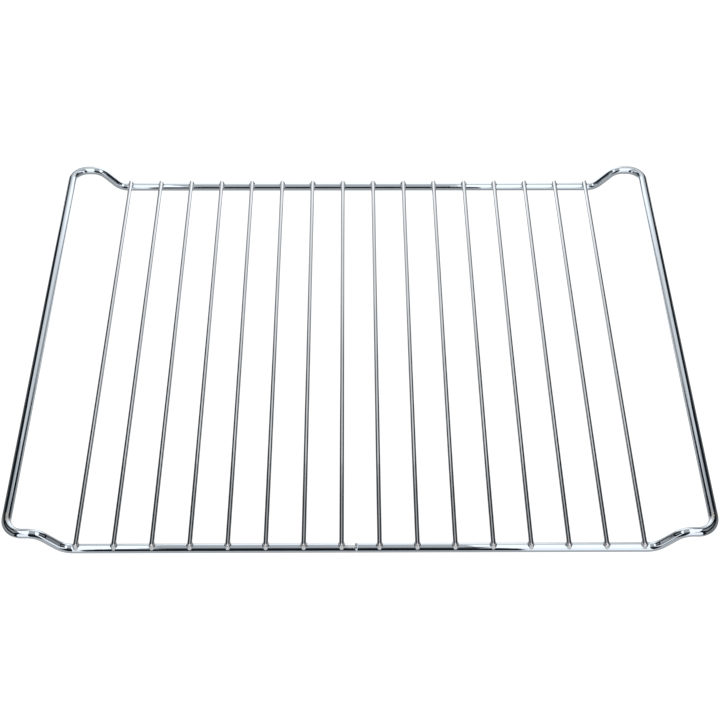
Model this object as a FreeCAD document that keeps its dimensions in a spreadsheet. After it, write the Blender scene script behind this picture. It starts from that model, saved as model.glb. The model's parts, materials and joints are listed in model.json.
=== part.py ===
"""Oven shelf rack: a bent wire frame with thin cross wires welded on top.

The frame is one thick wire, bent to a closed loop. Its front and back bars
carry the cross wires. At each end of a bar the wire jogs up in an S-bend, so
the corner ears and the side rails stand above the bars and run in the oven's
guides. The loop is closed by a butt weld in the middle of the front bar.

Millimetres, X to the right, Y to the back, Z up. The rack stands on its front
and back bars, with the middle of its footprint at the origin.
"""
import FreeCAD, Part
import Sketcher
import math
import os
from FreeCAD import Vector

# Driving dimensions: name, value, meaning
DIMENSIONS = [
    ("overall_width", 445, "outside of the left rail to the outside of the right rail"),
    ("overall_depth", 340, "outside of the front bar to the outside of the back bar"),
    ("frame_wire", 6, "diameter of the frame's wire"),
    ("corner_radius", 11, "centre-line radius of the four corner bends"),
    ("ear_length", 3.3, "straight wire between a corner bend and its S-bend"),
    ("jog_rise", 17, "height of the rails' axis above the bars' axis"),
    ("jog_angle", 50, "steepest slope of an S-bend, in degrees"),
    ("jog_radius", 12.5, "centre-line radius of both bends of an S-bend"),
    ("cross_wire", 3, "diameter of a cross wire"),
    ("cross_count", 16, "number of cross wires"),
    ("cross_overhang", 2.1, "length of a cross wire past the axis of the bar"),
    ("weld_sink", 0.5, "depth of the flat that a weld presses into a cross wire"),
    ("bend_clearance", 0.3, "bar left bare between the last cross wire and the S-bend"),
    ("butt_offset", 2.7, "place of the butt weld, to the left of the middle"),
    ("butt_width", 1.4, "length of the butt weld's bead along the bar"),
    ("butt_swell", 0.12, "radius of the bead beyond the radius of the wire"),
    ("butt_lift", 0.2, "shift of the bead's axis, up and in, so its foot is flush"),
]

os.makedirs("parts", exist_ok=True)
doc = FreeCAD.newDocument("oven_shelf_rack")
sheet = doc.addObject("Spreadsheet::Sheet", "dimensions")
for row, (alias, value, meaning) in enumerate(DIMENSIONS, start=1):
    sheet.set(f"A{row}", meaning)
    sheet.set(f"B{row}", str(value))
    sheet.setAlias(f"B{row}", alias)
doc.recompute()

# Rules: places and sizes worked out from the sheet
FRAME_R = "dimensions.frame_wire / 2"
WIRE_R = "dimensions.cross_wire / 2"
RAIL_X = f"(dimensions.overall_width / 2 - {FRAME_R})"
BAR_Y = f"(dimensions.overall_depth / 2 - {FRAME_R})"
BAR_Z = FRAME_R
RAIL_Z = f"({BAR_Z} + dimensions.jog_rise)"
CORNER_Y = f"({BAR_Y} - dimensions.corner_radius)"
EAR_X = f"({RAIL_X} - dimensions.corner_radius - dimensions.ear_length)"

# An S-bend is two equal arcs with a straight slope between them
SLOPE = "dimensions.jog_angle * 1 deg"
ARCS_RUN = f"2 * dimensions.jog_radius * sin({SLOPE})"
ARCS_RISE = f"2 * dimensions.jog_radius * (1 - cos({SLOPE}))"
SLOPE_RUN = f"(dimensions.jog_rise - {ARCS_RISE}) / tan({SLOPE})"
FOOT_X = f"({EAR_X} - {ARCS_RUN} - {SLOPE_RUN})"

# The cross wires stand on the straight of the bars, spread evenly between its ends
BAR_TOP_Z = f"({BAR_Z} + {FRAME_R})"
WIRE_Z = f"({BAR_TOP_Z} + {WIRE_R} - dimensions.weld_sink)"
WIRE_END_Y = f"({BAR_Y} + dimensions.cross_overhang)"
FLAT_END_Y = f"({BAR_Y} - dimensions.cross_overhang)"
LAST_WIRE_X = f"({FOOT_X} - {WIRE_R} - dimensions.bend_clearance)"


def number(rule):
    """The value of a rule at the sheet's present sizes."""
    return float(sheet.evalExpression(rule))


def origin_plane(body, role):
    """One of the three planes of a body's own origin."""
    return next(item for item in body.Origin.OriginFeatures if item.Role == role)


def add_sketch(body, name, role, offset):
    """An empty sketch on an origin plane, moved along the plane's normal."""
    sketch = body.newObject("Sketcher::SketchObject", name)
    sketch.AttachmentSupport = [(origin_plane(body, role), "")]
    sketch.MapMode = "FlatFace"
    sketch.setExpression("AttachmentOffset.Base.z", offset)
    return sketch


def dimension(sketch, name, kind, elements, rule):
    """A named dimension of a sketch, tied to the sheet by its rule."""
    value = number(rule)
    if kind == "Angle":
        value = math.radians(value)
    index = sketch.addConstraint(Sketcher.Constraint(kind, *elements, value))
    sketch.renameConstraint(index, name)
    sketch.setExpression(f"Constraints.{name}", rule)


def relate(sketch, *relations):
    """Geometric constraints of a sketch, such as tangent or vertical."""
    for relation in relations:
        sketch.addConstraint(Sketcher.Constraint(*relation))


def line(x1, y1, x2, y2):
    return Part.LineSegment(Vector(x1, y1, 0), Vector(x2, y2, 0))


def arc(x, y, radius, start_degrees, end_degrees):
    circle = Part.Circle(Vector(x, y, 0), Vector(0, 0, 1), radius)
    return Part.ArcOfCircle(circle, math.radians(start_degrees), math.radians(end_degrees))


def circle_sketch(body, name, role, offset, x_rule, y_rule, diameter_rule):
    """A sketch with one circle, the section of a wire or of the bar."""
    sketch = add_sketch(body, name, role, offset)
    centre = Vector(number(x_rule), number(y_rule), 0)
    sketch.addGeometry(Part.Circle(centre, Vector(0, 0, 1), number(diameter_rule) / 2))
    dimension(sketch, "diameter", "Diameter", (0,), diameter_rule)
    dimension(sketch, "centre_x", "DistanceX", (-1, 1, 0, 3), x_rule)
    dimension(sketch, "centre_y", "DistanceY", (-1, 1, 0, 3), y_rule)
    return sketch


def bar_path(body):
    """Front bar from a right ear, down the S-bend, to the middle of the bar."""
    sketch = add_sketch(body, "bar_path", "XZ_Plane", BAR_Y)
    radius = number("dimensions.jog_radius")
    angle = number("dimensions.jog_angle")
    ear_x, rail_z = number(EAR_X), number(RAIL_Z)
    foot_x, bar_z = number(FOOT_X), number(BAR_Z)
    along = radius * math.sin(math.radians(angle))
    across = radius * (1 - math.cos(math.radians(angle)))
    sketch.addGeometry(arc(ear_x, rail_z - radius, radius, 90, 90 + angle))
    sketch.addGeometry(line(ear_x - along, rail_z - across, foot_x + along, bar_z + across))
    sketch.addGeometry(arc(foot_x, bar_z + radius, radius, 270, 270 + angle))
    sketch.addGeometry(line(foot_x, bar_z, 0, bar_z))
    relate(
        sketch,
        ("Tangent", 0, 2, 1, 1),
        ("Tangent", 1, 2, 2, 2),
        ("Tangent", 2, 1, 3, 1),
        ("Equal", 0, 2),
        ("Vertical", 0, 3, 0, 1),
        ("Horizontal", 3),
        ("PointOnObject", 3, 2, -2),
    )
    dimension(sketch, "bend_radius", "Radius", (0,), "dimensions.jog_radius")
    dimension(sketch, "slope", "Angle", (0,), "dimensions.jog_angle")
    dimension(sketch, "ear_x", "DistanceX", (-1, 1, 0, 1), EAR_X)
    dimension(sketch, "rail_z", "DistanceY", (-1, 1, 0, 1), RAIL_Z)
    dimension(sketch, "bar_z", "DistanceY", (-1, 1, 3, 2), BAR_Z)
    return sketch


def side_path(body):
    """Right rail from a front ear, round the corner, to the middle of the rail."""
    sketch = add_sketch(body, "side_path", "XY_Plane", RAIL_Z)
    radius = number("dimensions.corner_radius")
    ear_x, rail_x = number(EAR_X), number(RAIL_X)
    bar_y, corner_y = number(BAR_Y), number(CORNER_Y)
    sketch.addGeometry(line(ear_x, -bar_y, rail_x - radius, -bar_y))
    sketch.addGeometry(arc(rail_x - radius, -corner_y, radius, 270, 360))
    sketch.addGeometry(line(rail_x, -corner_y, rail_x, 0))
    relate(
        sketch,
        ("Tangent", 0, 2, 1, 1),
        ("Tangent", 1, 2, 2, 1),
        ("Horizontal", 0),
        ("Vertical", 2),
        ("PointOnObject", 2, 2, -1),
    )
    dimension(sketch, "bend_radius", "Radius", (1,), "dimensions.corner_radius")
    dimension(sketch, "ear_x", "DistanceX", (-1, 1, 0, 1), EAR_X)
    dimension(sketch, "rail_x", "DistanceX", (-1, 1, 2, 2), RAIL_X)
    dimension(sketch, "bar_y", "DistanceY", (0, 1, -1, 1), BAR_Y)
    return sketch


def sweep(body, name, section, path):
    """A round wire along every edge of a path sketch."""
    pipe = body.newObject("PartDesign::AdditivePipe", name)
    pipe.Profile = section
    pipe.Spine = (path, [f"Edge{n + 1}" for n in range(path.GeometryCount)])
    doc.recompute()


def mirror_body(body, name, role):
    """The whole body so far, doubled across one of its origin planes."""
    mirror = body.newObject("PartDesign::Mirrored", name)
    mirror.TransformMode = "Whole shape"
    mirror.MirrorPlane = (origin_plane(body, role), [""])
    body.Tip = mirror
    doc.recompute()


def butt_weld(body):
    """The bead where the two ends of the frame's wire meet, in the front bar."""
    section = circle_sketch(
        body, "bead_section", "YZ_Plane", "-dimensions.butt_offset",
        f"dimensions.butt_lift - {BAR_Y}", f"{BAR_Z} + dimensions.butt_lift",
        "dimensions.frame_wire + 2 * dimensions.butt_swell",
    )
    bead = body.newObject("PartDesign::Pad", "butt_bead")
    bead.Profile = section
    bead.SideType = "Symmetric"
    bead.setExpression("Length", "dimensions.butt_width")
    doc.recompute()


def outer_frame():
    """A quarter of the bent loop, mirrored twice, and the bead that closes it."""
    body = doc.addObject("PartDesign::Body", "outer_frame")
    body.Label = "outer_frame"
    section = circle_sketch(body, "wire_section", "YZ_Plane", EAR_X, f"-{BAR_Y}", RAIL_Z,
                            "dimensions.frame_wire")
    bar = bar_path(body)
    side = side_path(body)
    doc.recompute()
    sweep(body, "half_bar", section, bar)
    sweep(body, "half_side", section, side)
    mirror_body(body, "left_half", "YZ_Plane")
    mirror_body(body, "back_half", "XZ_Plane")
    butt_weld(body)
    return body


def flat_sketch(body):
    """Side view of the front flat: from inside the bar, out past the wire's end."""
    sketch = add_sketch(body, "flat_section", "YZ_Plane", "0")
    inner, outer = -number(FLAT_END_Y), -number(WIRE_END_Y) - number(WIRE_R)
    top, bottom = number(BAR_TOP_Z), number(BAR_Z)
    sketch.addGeometry(line(outer, bottom, inner, bottom))
    sketch.addGeometry(line(inner, bottom, inner, top))
    sketch.addGeometry(line(inner, top, outer, top))
    sketch.addGeometry(line(outer, top, outer, bottom))
    relate(
        sketch,
        ("Coincident", 0, 2, 1, 1),
        ("Coincident", 1, 2, 2, 1),
        ("Coincident", 2, 2, 3, 1),
        ("Coincident", 3, 2, 0, 1),
        ("Horizontal", 0),
        ("Vertical", 1),
        ("Horizontal", 2),
        ("Vertical", 3),
    )
    dimension(sketch, "inner_y", "DistanceX", (0, 2, -1, 1), FLAT_END_Y)
    dimension(sketch, "outer_y", "DistanceX", (0, 1, -1, 1), f"{WIRE_END_Y} + {WIRE_R}")
    dimension(sketch, "bottom_z", "DistanceY", (-1, 1, 0, 1), BAR_Z)
    dimension(sketch, "top_z", "DistanceY", (-1, 1, 1, 2), BAR_TOP_Z)
    return sketch


def cross_wire(index):
    """A straight wire with a flat pressed under each end, where it is welded to a bar."""
    body = doc.addObject("PartDesign::Body", f"cross_wire_{index + 1:02d}")
    body.Label = f"cross_wire_{index + 1:02d}"
    section = circle_sketch(body, "section", "XZ_Plane", "0", "0", WIRE_Z, "dimensions.cross_wire")
    rod = body.newObject("PartDesign::Pad", "rod")
    rod.Profile = section
    rod.SideType = "Symmetric"
    rod.setExpression("Length", f"2 * {WIRE_END_Y}")
    doc.recompute()
    flat = body.newObject("PartDesign::Pocket", "front_flat")
    flat.Profile = flat_sketch(body)
    flat.SideType = "Symmetric"
    flat.Type = "ThroughAll"
    doc.recompute()
    assert flat.Shape.Volume < rod.Shape.Volume
    back = body.newObject("PartDesign::Mirrored", "back_flat")
    back.Originals = [flat]
    back.MirrorPlane = (origin_plane(body, "XZ_Plane"), [""])
    body.Tip = back
    share = f"(2 * {index} / (dimensions.cross_count - 1) - 1)"
    body.setExpression("Placement.Base.x", f"{LAST_WIRE_X} * {share}")
    doc.recompute()
    return body


wire_count = int(round(sheet.cross_count))
pieces = [outer_frame()]
pieces += [cross_wire(index) for index in range(wire_count)]
doc.recompute()

for item in doc.Objects:
    assert "Invalid" not in item.State and "Error" not in item.State, item.Name
for piece in pieces:
    shape = piece.Shape
    assert not shape.isNull() and shape.isValid() and len(shape.Solids) == 1, piece.Label
    shape.exportStep(f"parts/{piece.Label}.step")
    print(piece.Label, round(shape.Volume, 1), "cubic millimetres")
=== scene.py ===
# %% [markdown]
# # An oven shelf rack in bright plated wire
# The rack is made from two kinds of wire. A thick one is bent to a closed loop and
# butt-welded to itself, and sixteen thin ones are welded across it, front to back.
# The CAD model gives the sizes and the places. This lesson adds what the CAD model
# leaves out: the melted metal at the welds, the cut ends and the plating.

# %% Load the frame
import json
import math

import bmesh
import bpy
from mathutils import Matrix, Vector, noise

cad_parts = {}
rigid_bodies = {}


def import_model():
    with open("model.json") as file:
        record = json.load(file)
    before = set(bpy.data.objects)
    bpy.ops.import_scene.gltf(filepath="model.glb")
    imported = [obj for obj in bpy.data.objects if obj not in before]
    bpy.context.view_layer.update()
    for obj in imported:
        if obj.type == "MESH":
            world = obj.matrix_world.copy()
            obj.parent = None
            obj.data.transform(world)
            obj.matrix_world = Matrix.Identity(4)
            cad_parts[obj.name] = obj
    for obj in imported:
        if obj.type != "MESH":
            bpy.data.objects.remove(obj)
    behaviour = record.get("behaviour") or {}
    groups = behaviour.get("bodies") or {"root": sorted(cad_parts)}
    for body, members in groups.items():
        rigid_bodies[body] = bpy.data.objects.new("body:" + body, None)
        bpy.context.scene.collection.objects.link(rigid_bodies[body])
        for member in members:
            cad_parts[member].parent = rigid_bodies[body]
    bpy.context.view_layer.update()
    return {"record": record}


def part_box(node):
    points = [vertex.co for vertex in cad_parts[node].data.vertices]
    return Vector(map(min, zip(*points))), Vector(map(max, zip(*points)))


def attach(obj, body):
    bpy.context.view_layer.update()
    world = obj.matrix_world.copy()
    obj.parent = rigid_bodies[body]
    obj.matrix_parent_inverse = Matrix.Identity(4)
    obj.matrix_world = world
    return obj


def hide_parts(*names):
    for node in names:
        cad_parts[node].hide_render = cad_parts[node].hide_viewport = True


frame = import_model()

# %% [markdown]
# ## Sizes
# A piece that stands for a CAD node has to be where that node is, so its sizes are
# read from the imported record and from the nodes' boxes. They could be typed in again,
# but then a change in the CAD model would leave the looks behind. Only the S-shaped
# jog isn't in the record, so its three sizes are given here.

# %% Read the sizes of the wires
MM = 0.001

mounts = {mount["name"]: mount for mount in frame["record"]["mounts"]}
rail_mount = mounts["right_rail"]
grid_mount = mounts["grid_top"]
frame_low, frame_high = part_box("outer_frame")

frame_r = rail_mount["dims"]["r_mm"] * MM
rail_x = rail_mount["pos_m"][0]
rail_z = rail_mount["pos_m"][2]
rail_length = rail_mount["dims"]["length_mm"] * MM
wire_r = grid_mount["dims"]["r_mm"] * MM
wire_count = grid_mount["dims"]["count"]
wire_z = grid_mount["pos_m"][2] - wire_r
bar_y = round(frame_high.y, 4) - frame_r
bar_z = round(frame_low.z, 4) + frame_r
corner_r = bar_y - rail_length / 2
print("frame wire", frame_r, "rails at", rail_x, rail_z, "bars at", bar_y, bar_z)

# %% Work out the S-shaped jog
EAR_LENGTH = 3.3 * MM
JOG_RADIUS = 12.5 * MM
JOG_ANGLE = math.radians(50)

jog_rise = rail_z - bar_z
slope_rise = jog_rise - 2 * JOG_RADIUS * (1 - math.cos(JOG_ANGLE))
slope_length = slope_rise / math.sin(JOG_ANGLE)
jog_run = 2 * JOG_RADIUS * math.sin(JOG_ANGLE) + slope_length * math.cos(JOG_ANGLE)
foot_x = rail_x - corner_r - EAR_LENGTH - jog_run
print("slope", slope_length, "bars bend up at", foot_x)

# %% [markdown]
# ## A wire bender
# A factory bends such a loop on a machine that feeds straight wire and bends it round
# pins. A curve with a round bevel could give the same tube, but this small class works
# as the machine does: a ring of vertices is extruded to feed wire and spun to bend it.
# Each vertex also keeps its place on the unbent wire, so that the drawing lines in the
# finish later follow the wire round every bend.

# %% Make the wire bender
UP = Vector((0, 0, 1))
BEND_STEP = math.radians(3.5)


class WireBender:
    def __init__(self, segments, radius, start, heading):
        self.mesh = bmesh.new()
        self.place = Vector(start)
        self.heading = Vector(heading)
        self.fed = 0
        self.on_wire = self.mesh.verts.layers.float_vector.new("on_wire")
        self.weld = self.mesh.verts.layers.float.new("weld")
        self.rub = self.mesh.verts.layers.float.new("rub")
        turn = self.heading.to_track_quat("Z", "Y").to_matrix().to_4x4()
        self.ring = bmesh.ops.create_circle(
            self.mesh,
            segments=segments,
            radius=radius,
            matrix=Matrix.Translation(self.place) @ turn,
        )["verts"]
        for vert in self.ring:
            across = turn.inverted() @ (vert.co - self.place)
            vert[self.on_wire] = (across.x, across.y, 0)

    def ring_edges(self):
        ring = set(self.ring)
        edges = {edge for vert in ring for edge in vert.link_edges}
        return [edge for edge in edges if set(edge.verts) <= ring]

    def take_ring(self, made, fed):
        self.ring = [item for item in made if isinstance(item, bmesh.types.BMVert)]
        self.fed += fed
        for vert in self.ring:
            vert[self.on_wire] = (*vert[self.on_wire].xy, self.fed)

    def feed(self, length, steps=1):
        for _ in range(steps):
            step = self.heading * length / steps
            made = bmesh.ops.extrude_edge_only(self.mesh, edges=self.ring_edges())
            self.take_ring(made["geom"], length / steps)
            bmesh.ops.translate(self.mesh, verts=self.ring, vec=step)
            self.place += step

    def bend(self, axis, angle, radius):
        steps = math.ceil(angle / BEND_STEP)
        centre = self.place + axis.cross(self.heading) * radius
        for _ in range(steps):
            made = bmesh.ops.spin(
                self.mesh,
                geom=self.ring + self.ring_edges(),
                cent=centre,
                axis=axis,
                angle=angle / steps,
                steps=1,
            )
            self.take_ring(made["geom_last"], radius * angle / steps)
        turn = Matrix.Rotation(angle, 3, axis)
        self.place = centre + turn @ (self.place - centre)
        self.heading = turn @ self.heading

    def turn_left(self, angle, radius):
        self.bend(UP, angle, radius)

    def climb(self, angle, radius):
        self.bend(self.heading.cross(UP).normalized(), angle, radius)

    def dive(self, angle, radius):
        self.bend(UP.cross(self.heading).normalized(), angle, radius)


print("bend steps of", round(math.degrees(BEND_STEP), 1), "degrees")

# %% [markdown]
# ## The bent frame
# The loop starts and ends at its butt weld, near the middle of the front bar. From
# there the bender goes along the bar, up the S-shaped jog to the ear, round the corner
# and along the side rail, and so on round the rack. The last ring lands on the first,
# so merging doubles closes the loop with no seam. The rings are close together at the
# butt weld and at the corners, where the next steps change the wire.

# %% Bend the frame
FRAME_SEGMENTS = 48
BUTT_X = -2.7 * MM
BUTT_ZONE = 11 * MM
BUTT_STEP = 0.3 * MM
CLOSING_STRIP = 0.05 * MM
RUB_ZONE = 8 * MM
RUB_STEPS = 8
QUARTER = math.radians(90)

joint = Vector((BUTT_X, -bar_y, bar_z))
bender = WireBender(FRAME_SEGMENTS, frame_r, joint, (1, 0, 0))


def up_jog():
    bender.climb(JOG_ANGLE, JOG_RADIUS)
    bender.feed(slope_length)
    bender.dive(JOG_ANGLE, JOG_RADIUS)
    bender.feed(EAR_LENGTH)


def down_jog():
    bender.feed(EAR_LENGTH)
    bender.dive(JOG_ANGLE, JOG_RADIUS)
    bender.feed(slope_length)
    bender.climb(JOG_ANGLE, JOG_RADIUS)


def side():
    up_jog()
    bender.turn_left(QUARTER, corner_r)
    bender.feed(RUB_ZONE, RUB_STEPS)
    bender.feed(rail_length - 2 * RUB_ZONE)
    bender.feed(RUB_ZONE, RUB_STEPS)
    bender.turn_left(QUARTER, corner_r)
    down_jog()


zone_steps = round(BUTT_ZONE / BUTT_STEP)
bender.feed(BUTT_ZONE, zone_steps)
bender.feed(foot_x - BUTT_X - BUTT_ZONE)
side()
bender.feed(2 * foot_x)
side()
bender.feed(foot_x + BUTT_X - BUTT_ZONE)
bender.feed(BUTT_ZONE - CLOSING_STRIP, zone_steps)
bender.feed(CLOSING_STRIP)
print("loop closes within", (bender.place - joint).length)
print("wire in the loop:", round(bender.fed, 4), "m")

# %% [markdown]
# The two ends of the loop were pressed together while hot. That squeezes a small ring
# of metal out of the joint, which is then roughly ground off. A separate ring could be
# joined on, but it would leave a crease. So the vertices near the joint move in and out
# along the wire's radius: a low ring at the joint, and an uneven ground patch beside
# it. The ring stays flush below and in front, where the wire already touches the box
# of the CAD model.

# %% Raise the butt weld
BEAD_WIDTH = 0.4 * MM
BEAD_HEIGHT = 0.3 * MM
BEAD_UNEVEN = 0.3
GROUND_RISE = (-9 * MM, -4.5 * MM)
GROUND_FALL = (-1.2 * MM, -0.4 * MM)
GROUND_DEPTH = 0.1 * MM
GROUND_DULL = 0.6
GRAINS_IN_A_METRE = 900
INWARD_UP = Vector((0, 0.6, 0.8))
RAISED_SIDE = (-0.3, 0.6)


def smooth_step(start, end, value):
    share = min(max((value - start) / (end - start), 0), 1)
    return share * share * (3 - 2 * share)


bmesh.ops.remove_doubles(bender.mesh, verts=bender.mesh.verts, dist=CLOSING_STRIP / 4)
moved = 0
for vert in bender.mesh.verts:
    offset = vert.co - joint
    if abs(offset.x) > BUTT_ZONE or vert.co.y > 0:
        continue
    outward = Vector((0, offset.y, offset.z)).normalized()
    facing = smooth_step(*RAISED_SIDE, outward.dot(INWARD_UP))
    grain = noise.noise(vert.co * GRAINS_IN_A_METRE)
    bead = math.exp(-((offset.x / BEAD_WIDTH) ** 2)) * (1 + BEAD_UNEVEN * grain)
    ground = smooth_step(*GROUND_RISE, offset.x) * (1 - smooth_step(*GROUND_FALL, offset.x))
    dent = 0.5 + 0.5 * grain
    vert.co += outward * facing * (bead * BEAD_HEIGHT - ground * dent * GROUND_DEPTH)
    vert[bender.weld] = max(GROUND_DULL * ground * facing, bead)
    moved += 1
print("vertices at the butt weld:", moved)

# %% [markdown]
# The top of the wire has a dull mark where a front corner begins, which may come from
# the pins of the bending machine. It is too thin to be a shape, so the vertices there
# only keep how strongly they are rubbed, and the finish shows it later.

# %% Rub the wire at the front corners
RUB_LENGTH = 3.5 * MM
RUB_TOP = (0.5, 0.95)

rubbed = 0
for vert in bender.mesh.verts:
    along = vert.co.y + rail_length / 2
    if abs(along) > RUB_ZONE or abs(vert.co.x) < rail_x - corner_r:
        continue
    above = (vert.co.z - rail_z) / frame_r
    vert[bender.rub] = smooth_step(*RUB_TOP, above) * math.exp(-((along / RUB_LENGTH) ** 2))
    rubbed += 1
print("vertices rubbed:", rubbed)

# %% [markdown]
# The bent mesh now becomes an object. Its normals are worked out again, because a spin
# can turn faces inside out, and its faces are shaded smooth, because the real wire has
# no facets.

# %% Finish the frame
def finish_piece(mesh, name, nodes):
    bmesh.ops.recalc_face_normals(mesh, faces=mesh.faces)
    data = bpy.data.meshes.new(name)
    mesh.to_mesh(data)
    mesh.free()
    for face in data.polygons:
        face.use_smooth = True
    piece = bpy.data.objects.new(name, data)
    bpy.context.scene.collection.objects.link(piece)
    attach(piece, "root")
    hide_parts(*nodes)
    return piece


bent_frame = finish_piece(bender.mesh, "bent_frame", ["outer_frame"])
print("faces of the frame:", len(bent_frame.data.polygons))

# %% [markdown]
# ## The cross wires
# Each cross wire is a straight length, cut off with slightly rounded ends. A cylinder
# would do for its middle, but the ends need rings to round them off and close rings for
# the welds. So the same bender feeds it: one face closes the start, the rings grow to
# the full radius, and at the other end they shrink again.

# %% Feed one cross wire
WIRE_SEGMENTS = 40
END_ROUND = 1.1 * MM
END_STEPS = 5
FOOT_LENGTH = 6.5 * MM
FOOT_STEPS = 26
MID_STEPS = 8


def round_depth(step):
    return END_ROUND * (1 - math.cos(QUARTER * step / END_STEPS))


def shrink_ring(rod, step):
    radius = wire_r - END_ROUND * (1 - math.sin(QUARTER * step / END_STEPS))
    for vert in rod.ring:
        across = vert.co - rod.place
        vert.co = rod.place + across.normalized() * radius


def feed_wire(wire_x, half_length):
    rod = WireBender(WIRE_SEGMENTS, wire_r, (wire_x, -half_length, wire_z), (0, 1, 0))
    bmesh.ops.contextual_create(rod.mesh, geom=rod.ring_edges())
    shrink_ring(rod, 0)
    for step in range(1, END_STEPS + 1):
        rod.feed(round_depth(step) - round_depth(step - 1))
        shrink_ring(rod, step)
    rod.feed(FOOT_LENGTH, FOOT_STEPS)
    rod.feed(2 * (half_length - END_ROUND - FOOT_LENGTH), MID_STEPS)
    rod.feed(FOOT_LENGTH, FOOT_STEPS)
    for step in range(END_STEPS, 0, -1):
        rod.feed(round_depth(step) - round_depth(step - 1))
        shrink_ring(rod, step - 1)
    bmesh.ops.contextual_create(rod.mesh, geom=rod.ring_edges())
    return rod


print("rings near each end:", END_STEPS + FOOT_STEPS)

# %% [markdown]
# A cross wire is pressed down on the bars while a current melts the metal where they
# touch. The wire sinks a little, its underside spreads out as a skirt on the bar, and
# some metal runs past the cut end. A boolean union would leave a sharp crease there, so
# the lower part of the close rings is drawn out sideways and down on to the bar. Noise
# makes each skirt a little different.

# %% Draw the skirt of a weld out on to the bar
SKIRT_BACK = (-2.8 * MM, -1.0 * MM)
SKIRT_FRONT = (0.5 * MM, 1.7 * MM)
SKIRT_SINK = 0.12 * MM
SKIRT_SPREAD = 0.8
SKIRT_UNEVEN = 0.6
SKIRT_UNDERSIDE = (0.35, -0.75)
LUMPS_IN_A_METRE = 700
RUN_START = 1.0 * MM
RUN_LENGTH = 0.75 * MM
RUN_SPREAD = 0.4
RUN_UNDERSIDE = (0.3, -0.8)
MELTED_TIP = 0.8


def melt_feet(rod, wire_x, half_length, seed):
    for vert in rod.mesh.verts:
        from_bar = abs(vert.co.y) - bar_y
        if from_bar < SKIRT_BACK[0]:
            continue
        near = smooth_step(*SKIRT_BACK, from_bar) * (1 - smooth_step(*SKIRT_FRONT, from_bar))
        across = Vector((vert.co.x - wire_x, vert.co.z - wire_z))
        low = smooth_step(*SKIRT_UNDERSIDE, across.y / wire_r) * near
        run = smooth_step(*RUN_UNDERSIDE, across.y / wire_r)
        run *= smooth_step(RUN_START, half_length - bar_y, from_bar)
        run_out = from_bar + RUN_LENGTH * run
        bar_top = bar_z + math.sqrt(max(frame_r**2 - run_out**2, 0))
        lumps = noise.noise((vert.co + Vector((seed, 0, 0))) * LUMPS_IN_A_METRE)
        spread = SKIRT_SPREAD * (1 + SKIRT_UNEVEN * lumps)
        vert.co.x += across.x * (spread * low + RUN_SPREAD * run)
        vert.co.y = math.copysign(bar_y + run_out, vert.co.y)
        vert.co.z += (bar_top - SKIRT_SINK - vert.co.z) * max(low, run)
        tip = smooth_step(0, MELTED_TIP * wire_r, from_bar)
        vert[rod.weld] = max(low, tip)


print("skirts reach from", SKIRT_BACK[0], "to", SKIRT_FRONT[1], "m beside the bar's crest")

# %% Weld the sixteen cross wires
for number in range(1, wire_count + 1):
    node = f"cross_wire_{number:02d}"
    wire_low, wire_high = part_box(node)
    wire_x = (wire_low.x + wire_high.x) / 2
    half_length = round(wire_high.y, 5)
    rod = feed_wire(wire_x, half_length)
    melt_feet(rod, wire_x, half_length, number)
    grid_wire = finish_piece(rod.mesh, f"grid_wire_{number:02d}", [node])
    if number in (1, wire_count):
        print(grid_wire.name, "at", round(wire_x, 5), "faces:", len(grid_wire.data.polygons))

# %% [markdown]
# ## The bright plating
# Such wire is drawn through a die, which leaves fine lines along it, and is often plated
# with nickel and chrome. Chrome is a mirror, but a darker and cooler one than silver.
# The drawing lines and a slow waviness disturb the mirror a little. A picture of wire
# could be wrapped round the tubes, but noise needs no picture and no UV map: all
# patterns read the place on the unbent wire that the bender stored.

# %% Make helpers for shader nodes
MIX_SOCKETS = {"FLOAT": (2, 3, 0), "RGBA": (6, 7, 2)}


def add_node(tree, kind, **settings):
    node = tree.nodes.new(kind)
    for name, value in settings.items():
        setattr(node, name, value)
    return node


def feed_socket(tree, socket, value):
    if isinstance(value, bpy.types.NodeSocket):
        tree.links.new(value, socket)
    else:
        socket.default_value = value


def math_step(tree, operation, first, second):
    step = add_node(tree, "ShaderNodeMath", operation=operation)
    feed_socket(tree, step.inputs[0], first)
    feed_socket(tree, step.inputs[1], second)
    return step.outputs[0]


def map_range(tree, value, low, high, to_low, to_high):
    ramp = add_node(tree, "ShaderNodeMapRange", interpolation_type="SMOOTHSTEP")
    ramp.inputs["From Min"].default_value = low
    ramp.inputs["From Max"].default_value = high
    ramp.inputs["To Min"].default_value = to_low
    ramp.inputs["To Max"].default_value = to_high
    tree.links.new(value, ramp.inputs["Value"])
    return ramp.outputs["Result"]


def mix(tree, kind, share, first, second):
    low, high, result = MIX_SOCKETS[kind]
    mixer = add_node(tree, "ShaderNodeMix", data_type=kind)
    feed_socket(tree, mixer.inputs[0], share)
    feed_socket(tree, mixer.inputs[low], first)
    feed_socket(tree, mixer.inputs[high], second)
    return mixer.outputs[result]


print("kinds of mixing:", ", ".join(MIX_SOCKETS))

# %% Draw patterns along the wire
# Each pattern: repeats in a metre across the wire, repeats in a metre along it, detail
DRAWN_LINES = (7000, 30, 2)
SLOW_WAVES = (300, 90, 1)
FINE_GRAINS = (1500, 1500, 3)
SOFT_CLOUDS = (150, 40, 2)


def wire_noise(tree, place, across, along, detail):
    stretch = add_node(tree, "ShaderNodeVectorMath", operation="MULTIPLY")
    stretch.inputs[1].default_value = (across, across, along)
    tree.links.new(place, stretch.inputs[0])
    pattern = add_node(tree, "ShaderNodeTexNoise")
    pattern.inputs["Scale"].default_value = 1
    pattern.inputs["Detail"].default_value = detail
    tree.links.new(stretch.outputs[0], pattern.inputs["Vector"])
    return pattern.outputs["Fac"]


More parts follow.
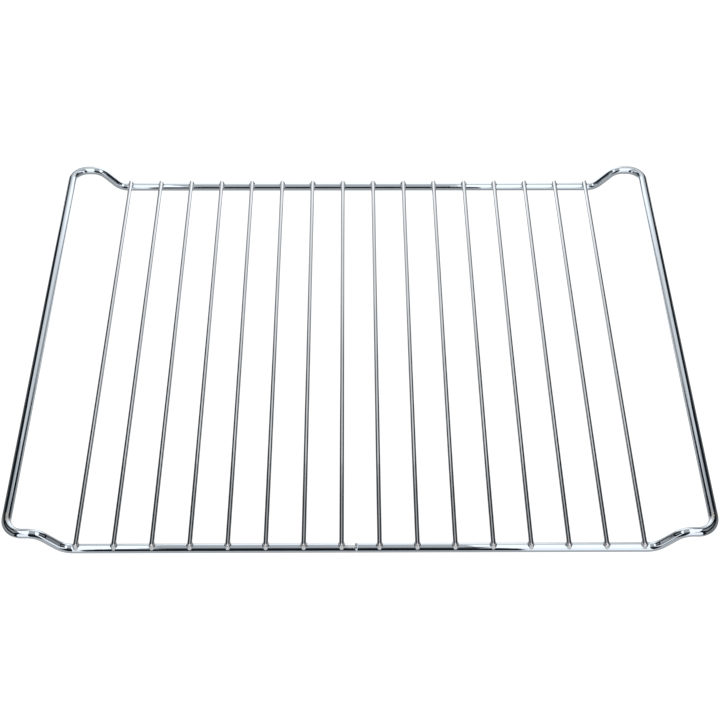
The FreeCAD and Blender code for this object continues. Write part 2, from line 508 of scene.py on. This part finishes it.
plating = bpy.data.materials.new("bright_plating")
plating.use_nodes = True
tree = plating.node_tree
shader = tree.nodes["Principled BSDF"]
shader.inputs["Metallic"].default_value = 1
on_wire = add_node(tree, "ShaderNodeAttribute", attribute_name="on_wire").outputs["Vector"]
weld = add_node(tree, "ShaderNodeAttribute", attribute_name="weld").outputs["Fac"]
rub = add_node(tree, "ShaderNodeAttribute", attribute_name="rub").outputs["Fac"]

lines = wire_noise(tree, on_wire, *DRAWN_LINES)
waves = wire_noise(tree, on_wire, *SLOW_WAVES)
grains = wire_noise(tree, on_wire, *FINE_GRAINS)
clouds = wire_noise(tree, on_wire, *SOFT_CLOUDS)
print("patterns on the wire: lines, waves, grains, clouds")

# %% [markdown]
# The thick wire looks a shade bluer than the thin wires. Two materials could show
# that, but one is enough: how far a point is from the middle of its wire tells the
# thick wire from the thin. The melted metal at the welds is paler, and the rubbed marks
# at the corners are speckled brown.

# %% Colour the plating
FRAME_DEEP = (0.485, 0.53, 0.58, 1)
FRAME_LIGHT = (0.525, 0.575, 0.625, 1)
WIRE_DEEP = (0.508, 0.53, 0.556, 1)
WIRE_LIGHT = (0.552, 0.575, 0.601, 1)
MELT_GREY = (0.80, 0.81, 0.83, 1)
RUB_BROWN = (0.50, 0.44, 0.37, 1)
SPECKLE_GRAINS = (0.40, 0.55)
THIN_LIMIT = 1.2 * wire_r
THICK_LIMIT = 0.8 * frame_r

across = add_node(tree, "ShaderNodeVectorMath", operation="MULTIPLY")
across.inputs[1].default_value = (1, 1, 0)
tree.links.new(on_wire, across.inputs[0])
radius = add_node(tree, "ShaderNodeVectorMath", operation="LENGTH")
tree.links.new(across.outputs[0], radius.inputs[0])
thick = map_range(tree, radius.outputs["Value"], THIN_LIMIT, THICK_LIMIT, 0, 1)

deep = mix(tree, "RGBA", thick, WIRE_DEEP, FRAME_DEEP)
light = mix(tree, "RGBA", thick, WIRE_LIGHT, FRAME_LIGHT)
chrome = mix(tree, "RGBA", clouds, deep, light)
melted = mix(tree, "RGBA", weld, chrome, MELT_GREY)
speckles = math_step(tree, "MULTIPLY", rub, map_range(tree, grains, *SPECKLE_GRAINS, 0, 1))
tree.links.new(mix(tree, "RGBA", speckles, melted, RUB_BROWN), shader.inputs["Base Color"])
print("thick wire from a radius of", THICK_LIMIT, "m")

# %% [markdown]
# Roughness blurs the mirror: hardly at all on the drawn wire, and most at the welds and
# the rubbed marks. Bump tilts it: slow waves, the drawing lines, and lumps at the welds.
# These are all far too fine to be modelled.

# %% Polish and roughen the plating
POLISH_LINES = (0.3, 0.8)
POLISH = (0.01, 0.05)
MELT_GRAINS = (0.3, 0.7)
MELT_ROUGHNESS = (0.15, 0.45)
RUB_ROUGHNESS = 0.35
WAVE_HEIGHT = 0.03 * MM
LINE_HEIGHT = 0.001 * MM
LUMP_HEIGHT = 0.15 * MM


def add_bump(tree, height, distance, before=None):
    bump = add_node(tree, "ShaderNodeBump")
    bump.inputs["Distance"].default_value = distance
    tree.links.new(height, bump.inputs["Height"])
    if before:
        tree.links.new(before, bump.inputs["Normal"])
    return bump.outputs["Normal"]


polish = map_range(tree, lines, *POLISH_LINES, *POLISH)
melt_rough = map_range(tree, grains, *MELT_GRAINS, *MELT_ROUGHNESS)
weld_rough = math_step(tree, "MULTIPLY", weld, melt_rough)
rub_rough = math_step(tree, "MULTIPLY", speckles, RUB_ROUGHNESS)
rough = math_step(tree, "ADD", weld_rough, rub_rough)
tree.links.new(math_step(tree, "ADD", polish, rough), shader.inputs["Roughness"])

wavy = add_bump(tree, waves, WAVE_HEIGHT)
drawn = add_bump(tree, lines, LINE_HEIGHT, wavy)
lumpy = add_bump(tree, math_step(tree, "MULTIPLY", grains, weld), LUMP_HEIGHT, drawn)
tree.links.new(lumpy, shader.inputs["Normal"])

for piece in bpy.data.objects:
    if piece.name.startswith(("bent_frame", "grid_wire")):
        piece.data.materials.append(plating)
print("nodes in the plating:", len(tree.nodes))

# %% [markdown]
# ## The light
# A mirror shows what is around it, so the studio is half of this finish. Two long soft
# lights hang over the rack, with a grey ceiling between them. A white backdrop stands
# close behind, and low skirtings and far walls stand at the sides of a dark room. Area
# lights would do as well, but a glowing panel can fade towards its edges. The panels
# are hidden from the camera, so that they never stand in front of the rack.

# %% Make a glowing panel
def glowing_finish(name):
    finish = bpy.data.materials.new(name)
    finish.use_nodes = True
    finish.node_tree.nodes.clear()
    glow = add_node(finish.node_tree, "ShaderNodeEmission")
    output = add_node(finish.node_tree, "ShaderNodeOutputMaterial")
    finish.node_tree.links.new(glow.outputs[0], output.inputs["Surface"])
    return finish, glow.inputs["Strength"]


def add_panel(name, low, high, finish):
    low, high = Vector(low), Vector(high)
    size = high - low
    spans = [Vector((size.x, 0, 0)), Vector((0, size.y, 0)), Vector((0, 0, size.z))]
    first, second = [span / 2 for span in spans if span.length > 0]
    place = Matrix((first, second, first.cross(second).normalized())).transposed().to_4x4()
    place.translation = (low + high) / 2
    panel_mesh = bmesh.new()
    bmesh.ops.create_grid(panel_mesh, x_segments=1, y_segments=1, size=1, matrix=place)
    data = bpy.data.meshes.new(name)
    panel_mesh.to_mesh(data)
    panel_mesh.free()
    data.materials.append(finish)
    panel = bpy.data.objects.new(name, data)
    bpy.context.scene.collection.objects.link(panel)
    return panel


# %% Measure the studio
HALF_WIDTH = 0.42
BACK = 0.60
FRONT = -0.90
TOP = 0.70
BOTTOM = -0.25


def overhead(left, right, front, back):
    return (left, front, TOP), (right, back, TOP)


def in_front(left, right, low):
    return (left, FRONT, low), (right, FRONT, TOP)


def beside(x, front, back, low, high):
    return (x, front, low), (x, back, high)


print("studio from", (-HALF_WIDTH, FRONT, BOTTOM), "to", (HALF_WIDTH, BACK, TOP))

# %% Set the edges of the lights
LEFT_EDGE = -0.22
LEFT_FRONT_EDGE = -0.245
LEFT_WALL_EDGE = -0.31
LEFT_SPLIT = -0.50
RIGHT_EDGE = 0.125
RIGHT_FRONT_EDGE = 0.155
RIGHT_WALL_EDGE = 0.19
RIGHT_SPLIT = -0.38
LIGHT_END = 0.25
DIM_CEILING = -0.56
FRONT_WALL_LOW = 0.50
FRONT_HALF_WIDTH = 0.60
BACK_HALF_WIDTH = 0.35
MIDDLE_CEILING = 0.40
FAR_CEILING = 0.47
print("gap between the long lights:", RIGHT_EDGE - LEFT_EDGE, "m")

# %% Set the edges of the side panels
WALL_FRONT = -0.32
WALL_LOW = 0.25
SKIRTING_FRONT = -0.40
SKIRTING_SPLIT = -0.05
SKIRTING_BACK = 0.30
SKIRTING_TOP = 0.03
RETURN_FRONT = 0.46
FAR_SIDE = 0.80
FAR_SPLIT = 0.20
FAR_BACK = 0.55
FAR_WALL_TOP = 0.24
FAR_SKIRTING_TOP = 0.14

front_skirting = (SKIRTING_FRONT, SKIRTING_SPLIT, BOTTOM, SKIRTING_TOP)
skirting = (SKIRTING_SPLIT, SKIRTING_BACK, BOTTOM, SKIRTING_TOP)
back_skirting = (SKIRTING_BACK, BACK, BOTTOM, SKIRTING_TOP)
wall = (WALL_FRONT, SKIRTING_SPLIT, WALL_LOW, TOP)
far_wall = (FRONT, FAR_SPLIT, 0, FAR_WALL_TOP)
far_skirting = (FAR_SPLIT, FAR_BACK, 0, FAR_SKIRTING_TOP)
wall_return = (RETURN_FRONT, BACK, SKIRTING_TOP, TOP)
print("far walls at", FAR_SIDE, "m to each side")

# %% Hang the panels round the rack
# Each panel: its place and how strongly it glows
PANELS = {
    "ceiling": (overhead(LEFT_EDGE, RIGHT_EDGE, DIM_CEILING, LIGHT_END), 0.7),
    "front_ceiling": (overhead(LEFT_FRONT_EDGE, RIGHT_FRONT_EDGE, FRONT, DIM_CEILING), 0.18),
    "front_wall": (in_front(LEFT_WALL_EDGE, RIGHT_WALL_EDGE, FRONT_WALL_LOW), 0.03),
    "back_ceiling": (overhead(-BACK_HALF_WIDTH, BACK_HALF_WIDTH, LIGHT_END, MIDDLE_CEILING), 0.65),
    "middle_ceiling": (
        overhead(-BACK_HALF_WIDTH, BACK_HALF_WIDTH, MIDDLE_CEILING, FAR_CEILING),
        1.08,
    ),
    "far_ceiling": (overhead(-HALF_WIDTH, HALF_WIDTH, FAR_CEILING, BACK), 1.08),
    "left_light": (overhead(-HALF_WIDTH, LEFT_EDGE, LEFT_SPLIT, LIGHT_END), 1.9),
    "left_front_light": (overhead(-HALF_WIDTH, LEFT_FRONT_EDGE, FRONT, LEFT_SPLIT), 1.8),
    "left_front_wall": (in_front(-FRONT_HALF_WIDTH, LEFT_WALL_EDGE, BOTTOM), 1.6),
    "right_light": (overhead(RIGHT_EDGE, HALF_WIDTH, RIGHT_SPLIT, LIGHT_END), 1.9),
    "right_front_light": (overhead(RIGHT_FRONT_EDGE, HALF_WIDTH, FRONT, RIGHT_SPLIT), 1.9),
    "right_front_wall": (in_front(RIGHT_WALL_EDGE, FRONT_HALF_WIDTH, BOTTOM), 1.6),
    "left_wall": (beside(-HALF_WIDTH, *wall), 0.4),
    "right_wall": (beside(HALF_WIDTH, *wall), 0.4),
    "left_front_skirting": (beside(-HALF_WIDTH, *front_skirting), 0.35),
    "right_front_skirting": (beside(HALF_WIDTH, *front_skirting), 0.30),
    "left_skirting": (beside(-HALF_WIDTH, *skirting), 0.20),
    "right_skirting": (beside(HALF_WIDTH, *skirting), 0.22),
    "left_back_skirting": (beside(-HALF_WIDTH, *back_skirting), 0.7),
    "right_back_skirting": (beside(HALF_WIDTH, *back_skirting), 0.55),
    "left_far_wall": (beside(-FAR_SIDE, *far_wall), 0.55),
    "right_far_wall": (beside(FAR_SIDE, *far_wall), 0.35),
    "left_far_skirting": (beside(-FAR_SIDE, *far_skirting), 0.2),
    "right_far_skirting": (beside(FAR_SIDE, *far_skirting), 0.2),
    "left_return": (beside(-HALF_WIDTH, *wall_return), 0.5),
    "right_return": (beside(HALF_WIDTH, *wall_return), 0.48),
}
for name, ((low, high), strength) in PANELS.items():
    finish, glow = glowing_finish(name + "_glow")
    glow.default_value = strength
    add_panel(name, low, high, finish).visible_camera = False
print("panels:", ", ".join(PANELS))

# %% [markdown]
# A photographer lights the white backdrop with lamps of its own, which leave soft oval
# pools of light on it. Lamps behind the rack could do that here too, but the oval is
# easily worked out: the backdrop's own place is squeezed until the pool is a round one,
# and the distance from its middle gives the glow.

# %% Light the backdrop
LOW_POOL = (0.15, 0.36, 0.38, 1.9)
HIGH_POOL = (0.55, 0.38, 0.18, 1.25)
POOL_FADE = (0.5, 1.1)
FOOT_GLOW = 0.2
LOWER_GLOW = 0.8
UPPER_GLOW = 0.95
FOOT_FADE = (-0.05, 0.05)
UPPER_FADE = (0.38, 0.50)


def add_pool(tree, around, height, half_width, half_height, strength):
    oval = add_node(tree, "ShaderNodeMapping")
    oval.inputs["Location"].default_value = (0, 0, -height / half_height)
    oval.inputs["Scale"].default_value = (1 / half_width, 0, 1 / half_height)
    place = add_node(tree, "ShaderNodeTexCoord").outputs["Object"]
    tree.links.new(place, oval.inputs["Vector"])
    from_middle = add_node(tree, "ShaderNodeVectorMath", operation="LENGTH")
    tree.links.new(oval.outputs[0], from_middle.inputs[0])
    share = map_range(tree, from_middle.outputs["Value"], *POOL_FADE, 1, 0)
    return mix(tree, "FLOAT", share, around, strength)


finish, glow = glowing_finish("backdrop_glow")
tree = finish.node_tree
parts = add_node(tree, "ShaderNodeSeparateXYZ")
tree.links.new(add_node(tree, "ShaderNodeTexCoord").outputs["Object"], parts.inputs[0])
lower = map_range(tree, parts.outputs["Z"], *FOOT_FADE, FOOT_GLOW, LOWER_GLOW)
upper = map_range(tree, parts.outputs["Z"], *UPPER_FADE, 0, UPPER_GLOW - LOWER_GLOW)
around = add_pool(tree, math_step(tree, "ADD", lower, upper), *HIGH_POOL)
tree.links.new(add_pool(tree, around, *LOW_POOL), glow)
backdrop = add_panel("backdrop", (-HALF_WIDTH, BACK, BOTTOM), (HALF_WIDTH, BACK, TOP), finish)
backdrop.visible_camera = False
print("backdrop at", BACK, "m")

# %% [markdown]
# The rack lies on a white table that the camera sees as plain white. If the wires
# mirrored it too, their undersides would shine as brightly as the table and lose their
# edge. So the table is hidden from reflections, and the wires mirror a dimmer board
# below it, which is brightest at the back.

# %% Lay the table and the white board below it
TABLE_SIZE = 3.0
TABLE_WHITE = 1.1
BOARD_FRONT = -1.25
BOARD_FRONT_GLOW = 0.7
BOARD_GLOW = 0.55
BOARD_BACK_GLOW = 1.25
BEFORE_FADE = (-0.35, -0.10)
BEHIND_FADE = (0.18, 0.40)

finish, glow = glowing_finish("white_table")
glow.default_value = TABLE_WHITE
table = add_panel("table", (-TABLE_SIZE, -TABLE_SIZE, 0), (TABLE_SIZE, TABLE_SIZE, 0), finish)
table.visible_glossy = False

finish, glow = glowing_finish("board_glow")
tree = finish.node_tree
parts = add_node(tree, "ShaderNodeSeparateXYZ")
tree.links.new(add_node(tree, "ShaderNodeTexCoord").outputs["Object"], parts.inputs[0])
before = map_range(tree, parts.outputs["Y"], *BEFORE_FADE, BOARD_FRONT_GLOW, BOARD_GLOW)
behind = map_range(tree, parts.outputs["Y"], *BEHIND_FADE, 0, BOARD_BACK_GLOW - BOARD_GLOW)
tree.links.new(math_step(tree, "ADD", before, behind), glow)
board_low = (-HALF_WIDTH, BOARD_FRONT, BOTTOM)
board_high = (HALF_WIDTH, BACK, BOTTOM)
board = add_panel("board", board_low, board_high, finish)
board.visible_camera = False
print("table of", 2 * TABLE_SIZE, "m, board", -BOTTOM, "m below it")

# %% [markdown]
# The rest of the room is nearly dark, with a touch of blue, so that the edges of the
# wires turn dark against the table. Past the table the camera sees plain white. Both
# come from the world's background, which knows by its light path who is looking.

# %% Darken the room
DARK_ROOM = 0.02
ROOM_BLUE = (0.5, 0.75, 1, 1)
SEEN_ROOM = 1
WHITE = (1, 1, 1, 1)

world = bpy.data.worlds.new("dark_room")
bpy.context.scene.world = world
world.use_nodes = True
tree = world.node_tree
background = tree.nodes["Background"]
seen = add_node(tree, "ShaderNodeLightPath").outputs["Is Camera Ray"]
tree.links.new(mix(tree, "FLOAT", seen, DARK_ROOM, SEEN_ROOM), background.inputs["Strength"])
tree.links.new(mix(tree, "RGBA", seen, ROOM_BLUE, WHITE), background.inputs["Color"])
print("room light:", DARK_ROOM)

# %% [markdown]
# ## The camera
# The view is from the front and well above, so that the rack fills the frame. A camera
# could be dragged into place, but here it is set by what a photographer would choose:
# the point that it looks at, how far away it is, how steeply it looks down, and a small
# turn and roll.

# %% Place the camera
LOOK_AT = Vector((0.40, -26.8, 20)) * MM
DISTANCE = 932 * MM
LOOK_DOWN = math.radians(49.35)
TURN = math.radians(0.62)
ROLL = math.radians(-0.37)
LENS = 68.25
SENSOR_WIDTH = 36

camera_data = bpy.data.cameras.new("camera")
camera_data.lens = LENS
camera_data.sensor_width = SENSOR_WIDTH
camera = bpy.data.objects.new("camera", camera_data)
bpy.context.scene.collection.objects.link(camera)
level = math.cos(LOOK_DOWN)
ahead = Vector((math.sin(TURN) * level, math.cos(TURN) * level, -math.sin(LOOK_DOWN)))
aim = Matrix.Rotation(-TURN, 4, "Z") @ Matrix.Rotation(QUARTER - LOOK_DOWN, 4, "X")
camera.matrix_world = (
    Matrix.Translation(LOOK_AT - ahead * DISTANCE) @ aim @ Matrix.Rotation(-ROLL, 4, "Z")
)
bpy.context.scene.camera = camera
bpy.context.scene.view_settings.view_transform = "Standard"
print("camera at", camera.matrix_world.translation)
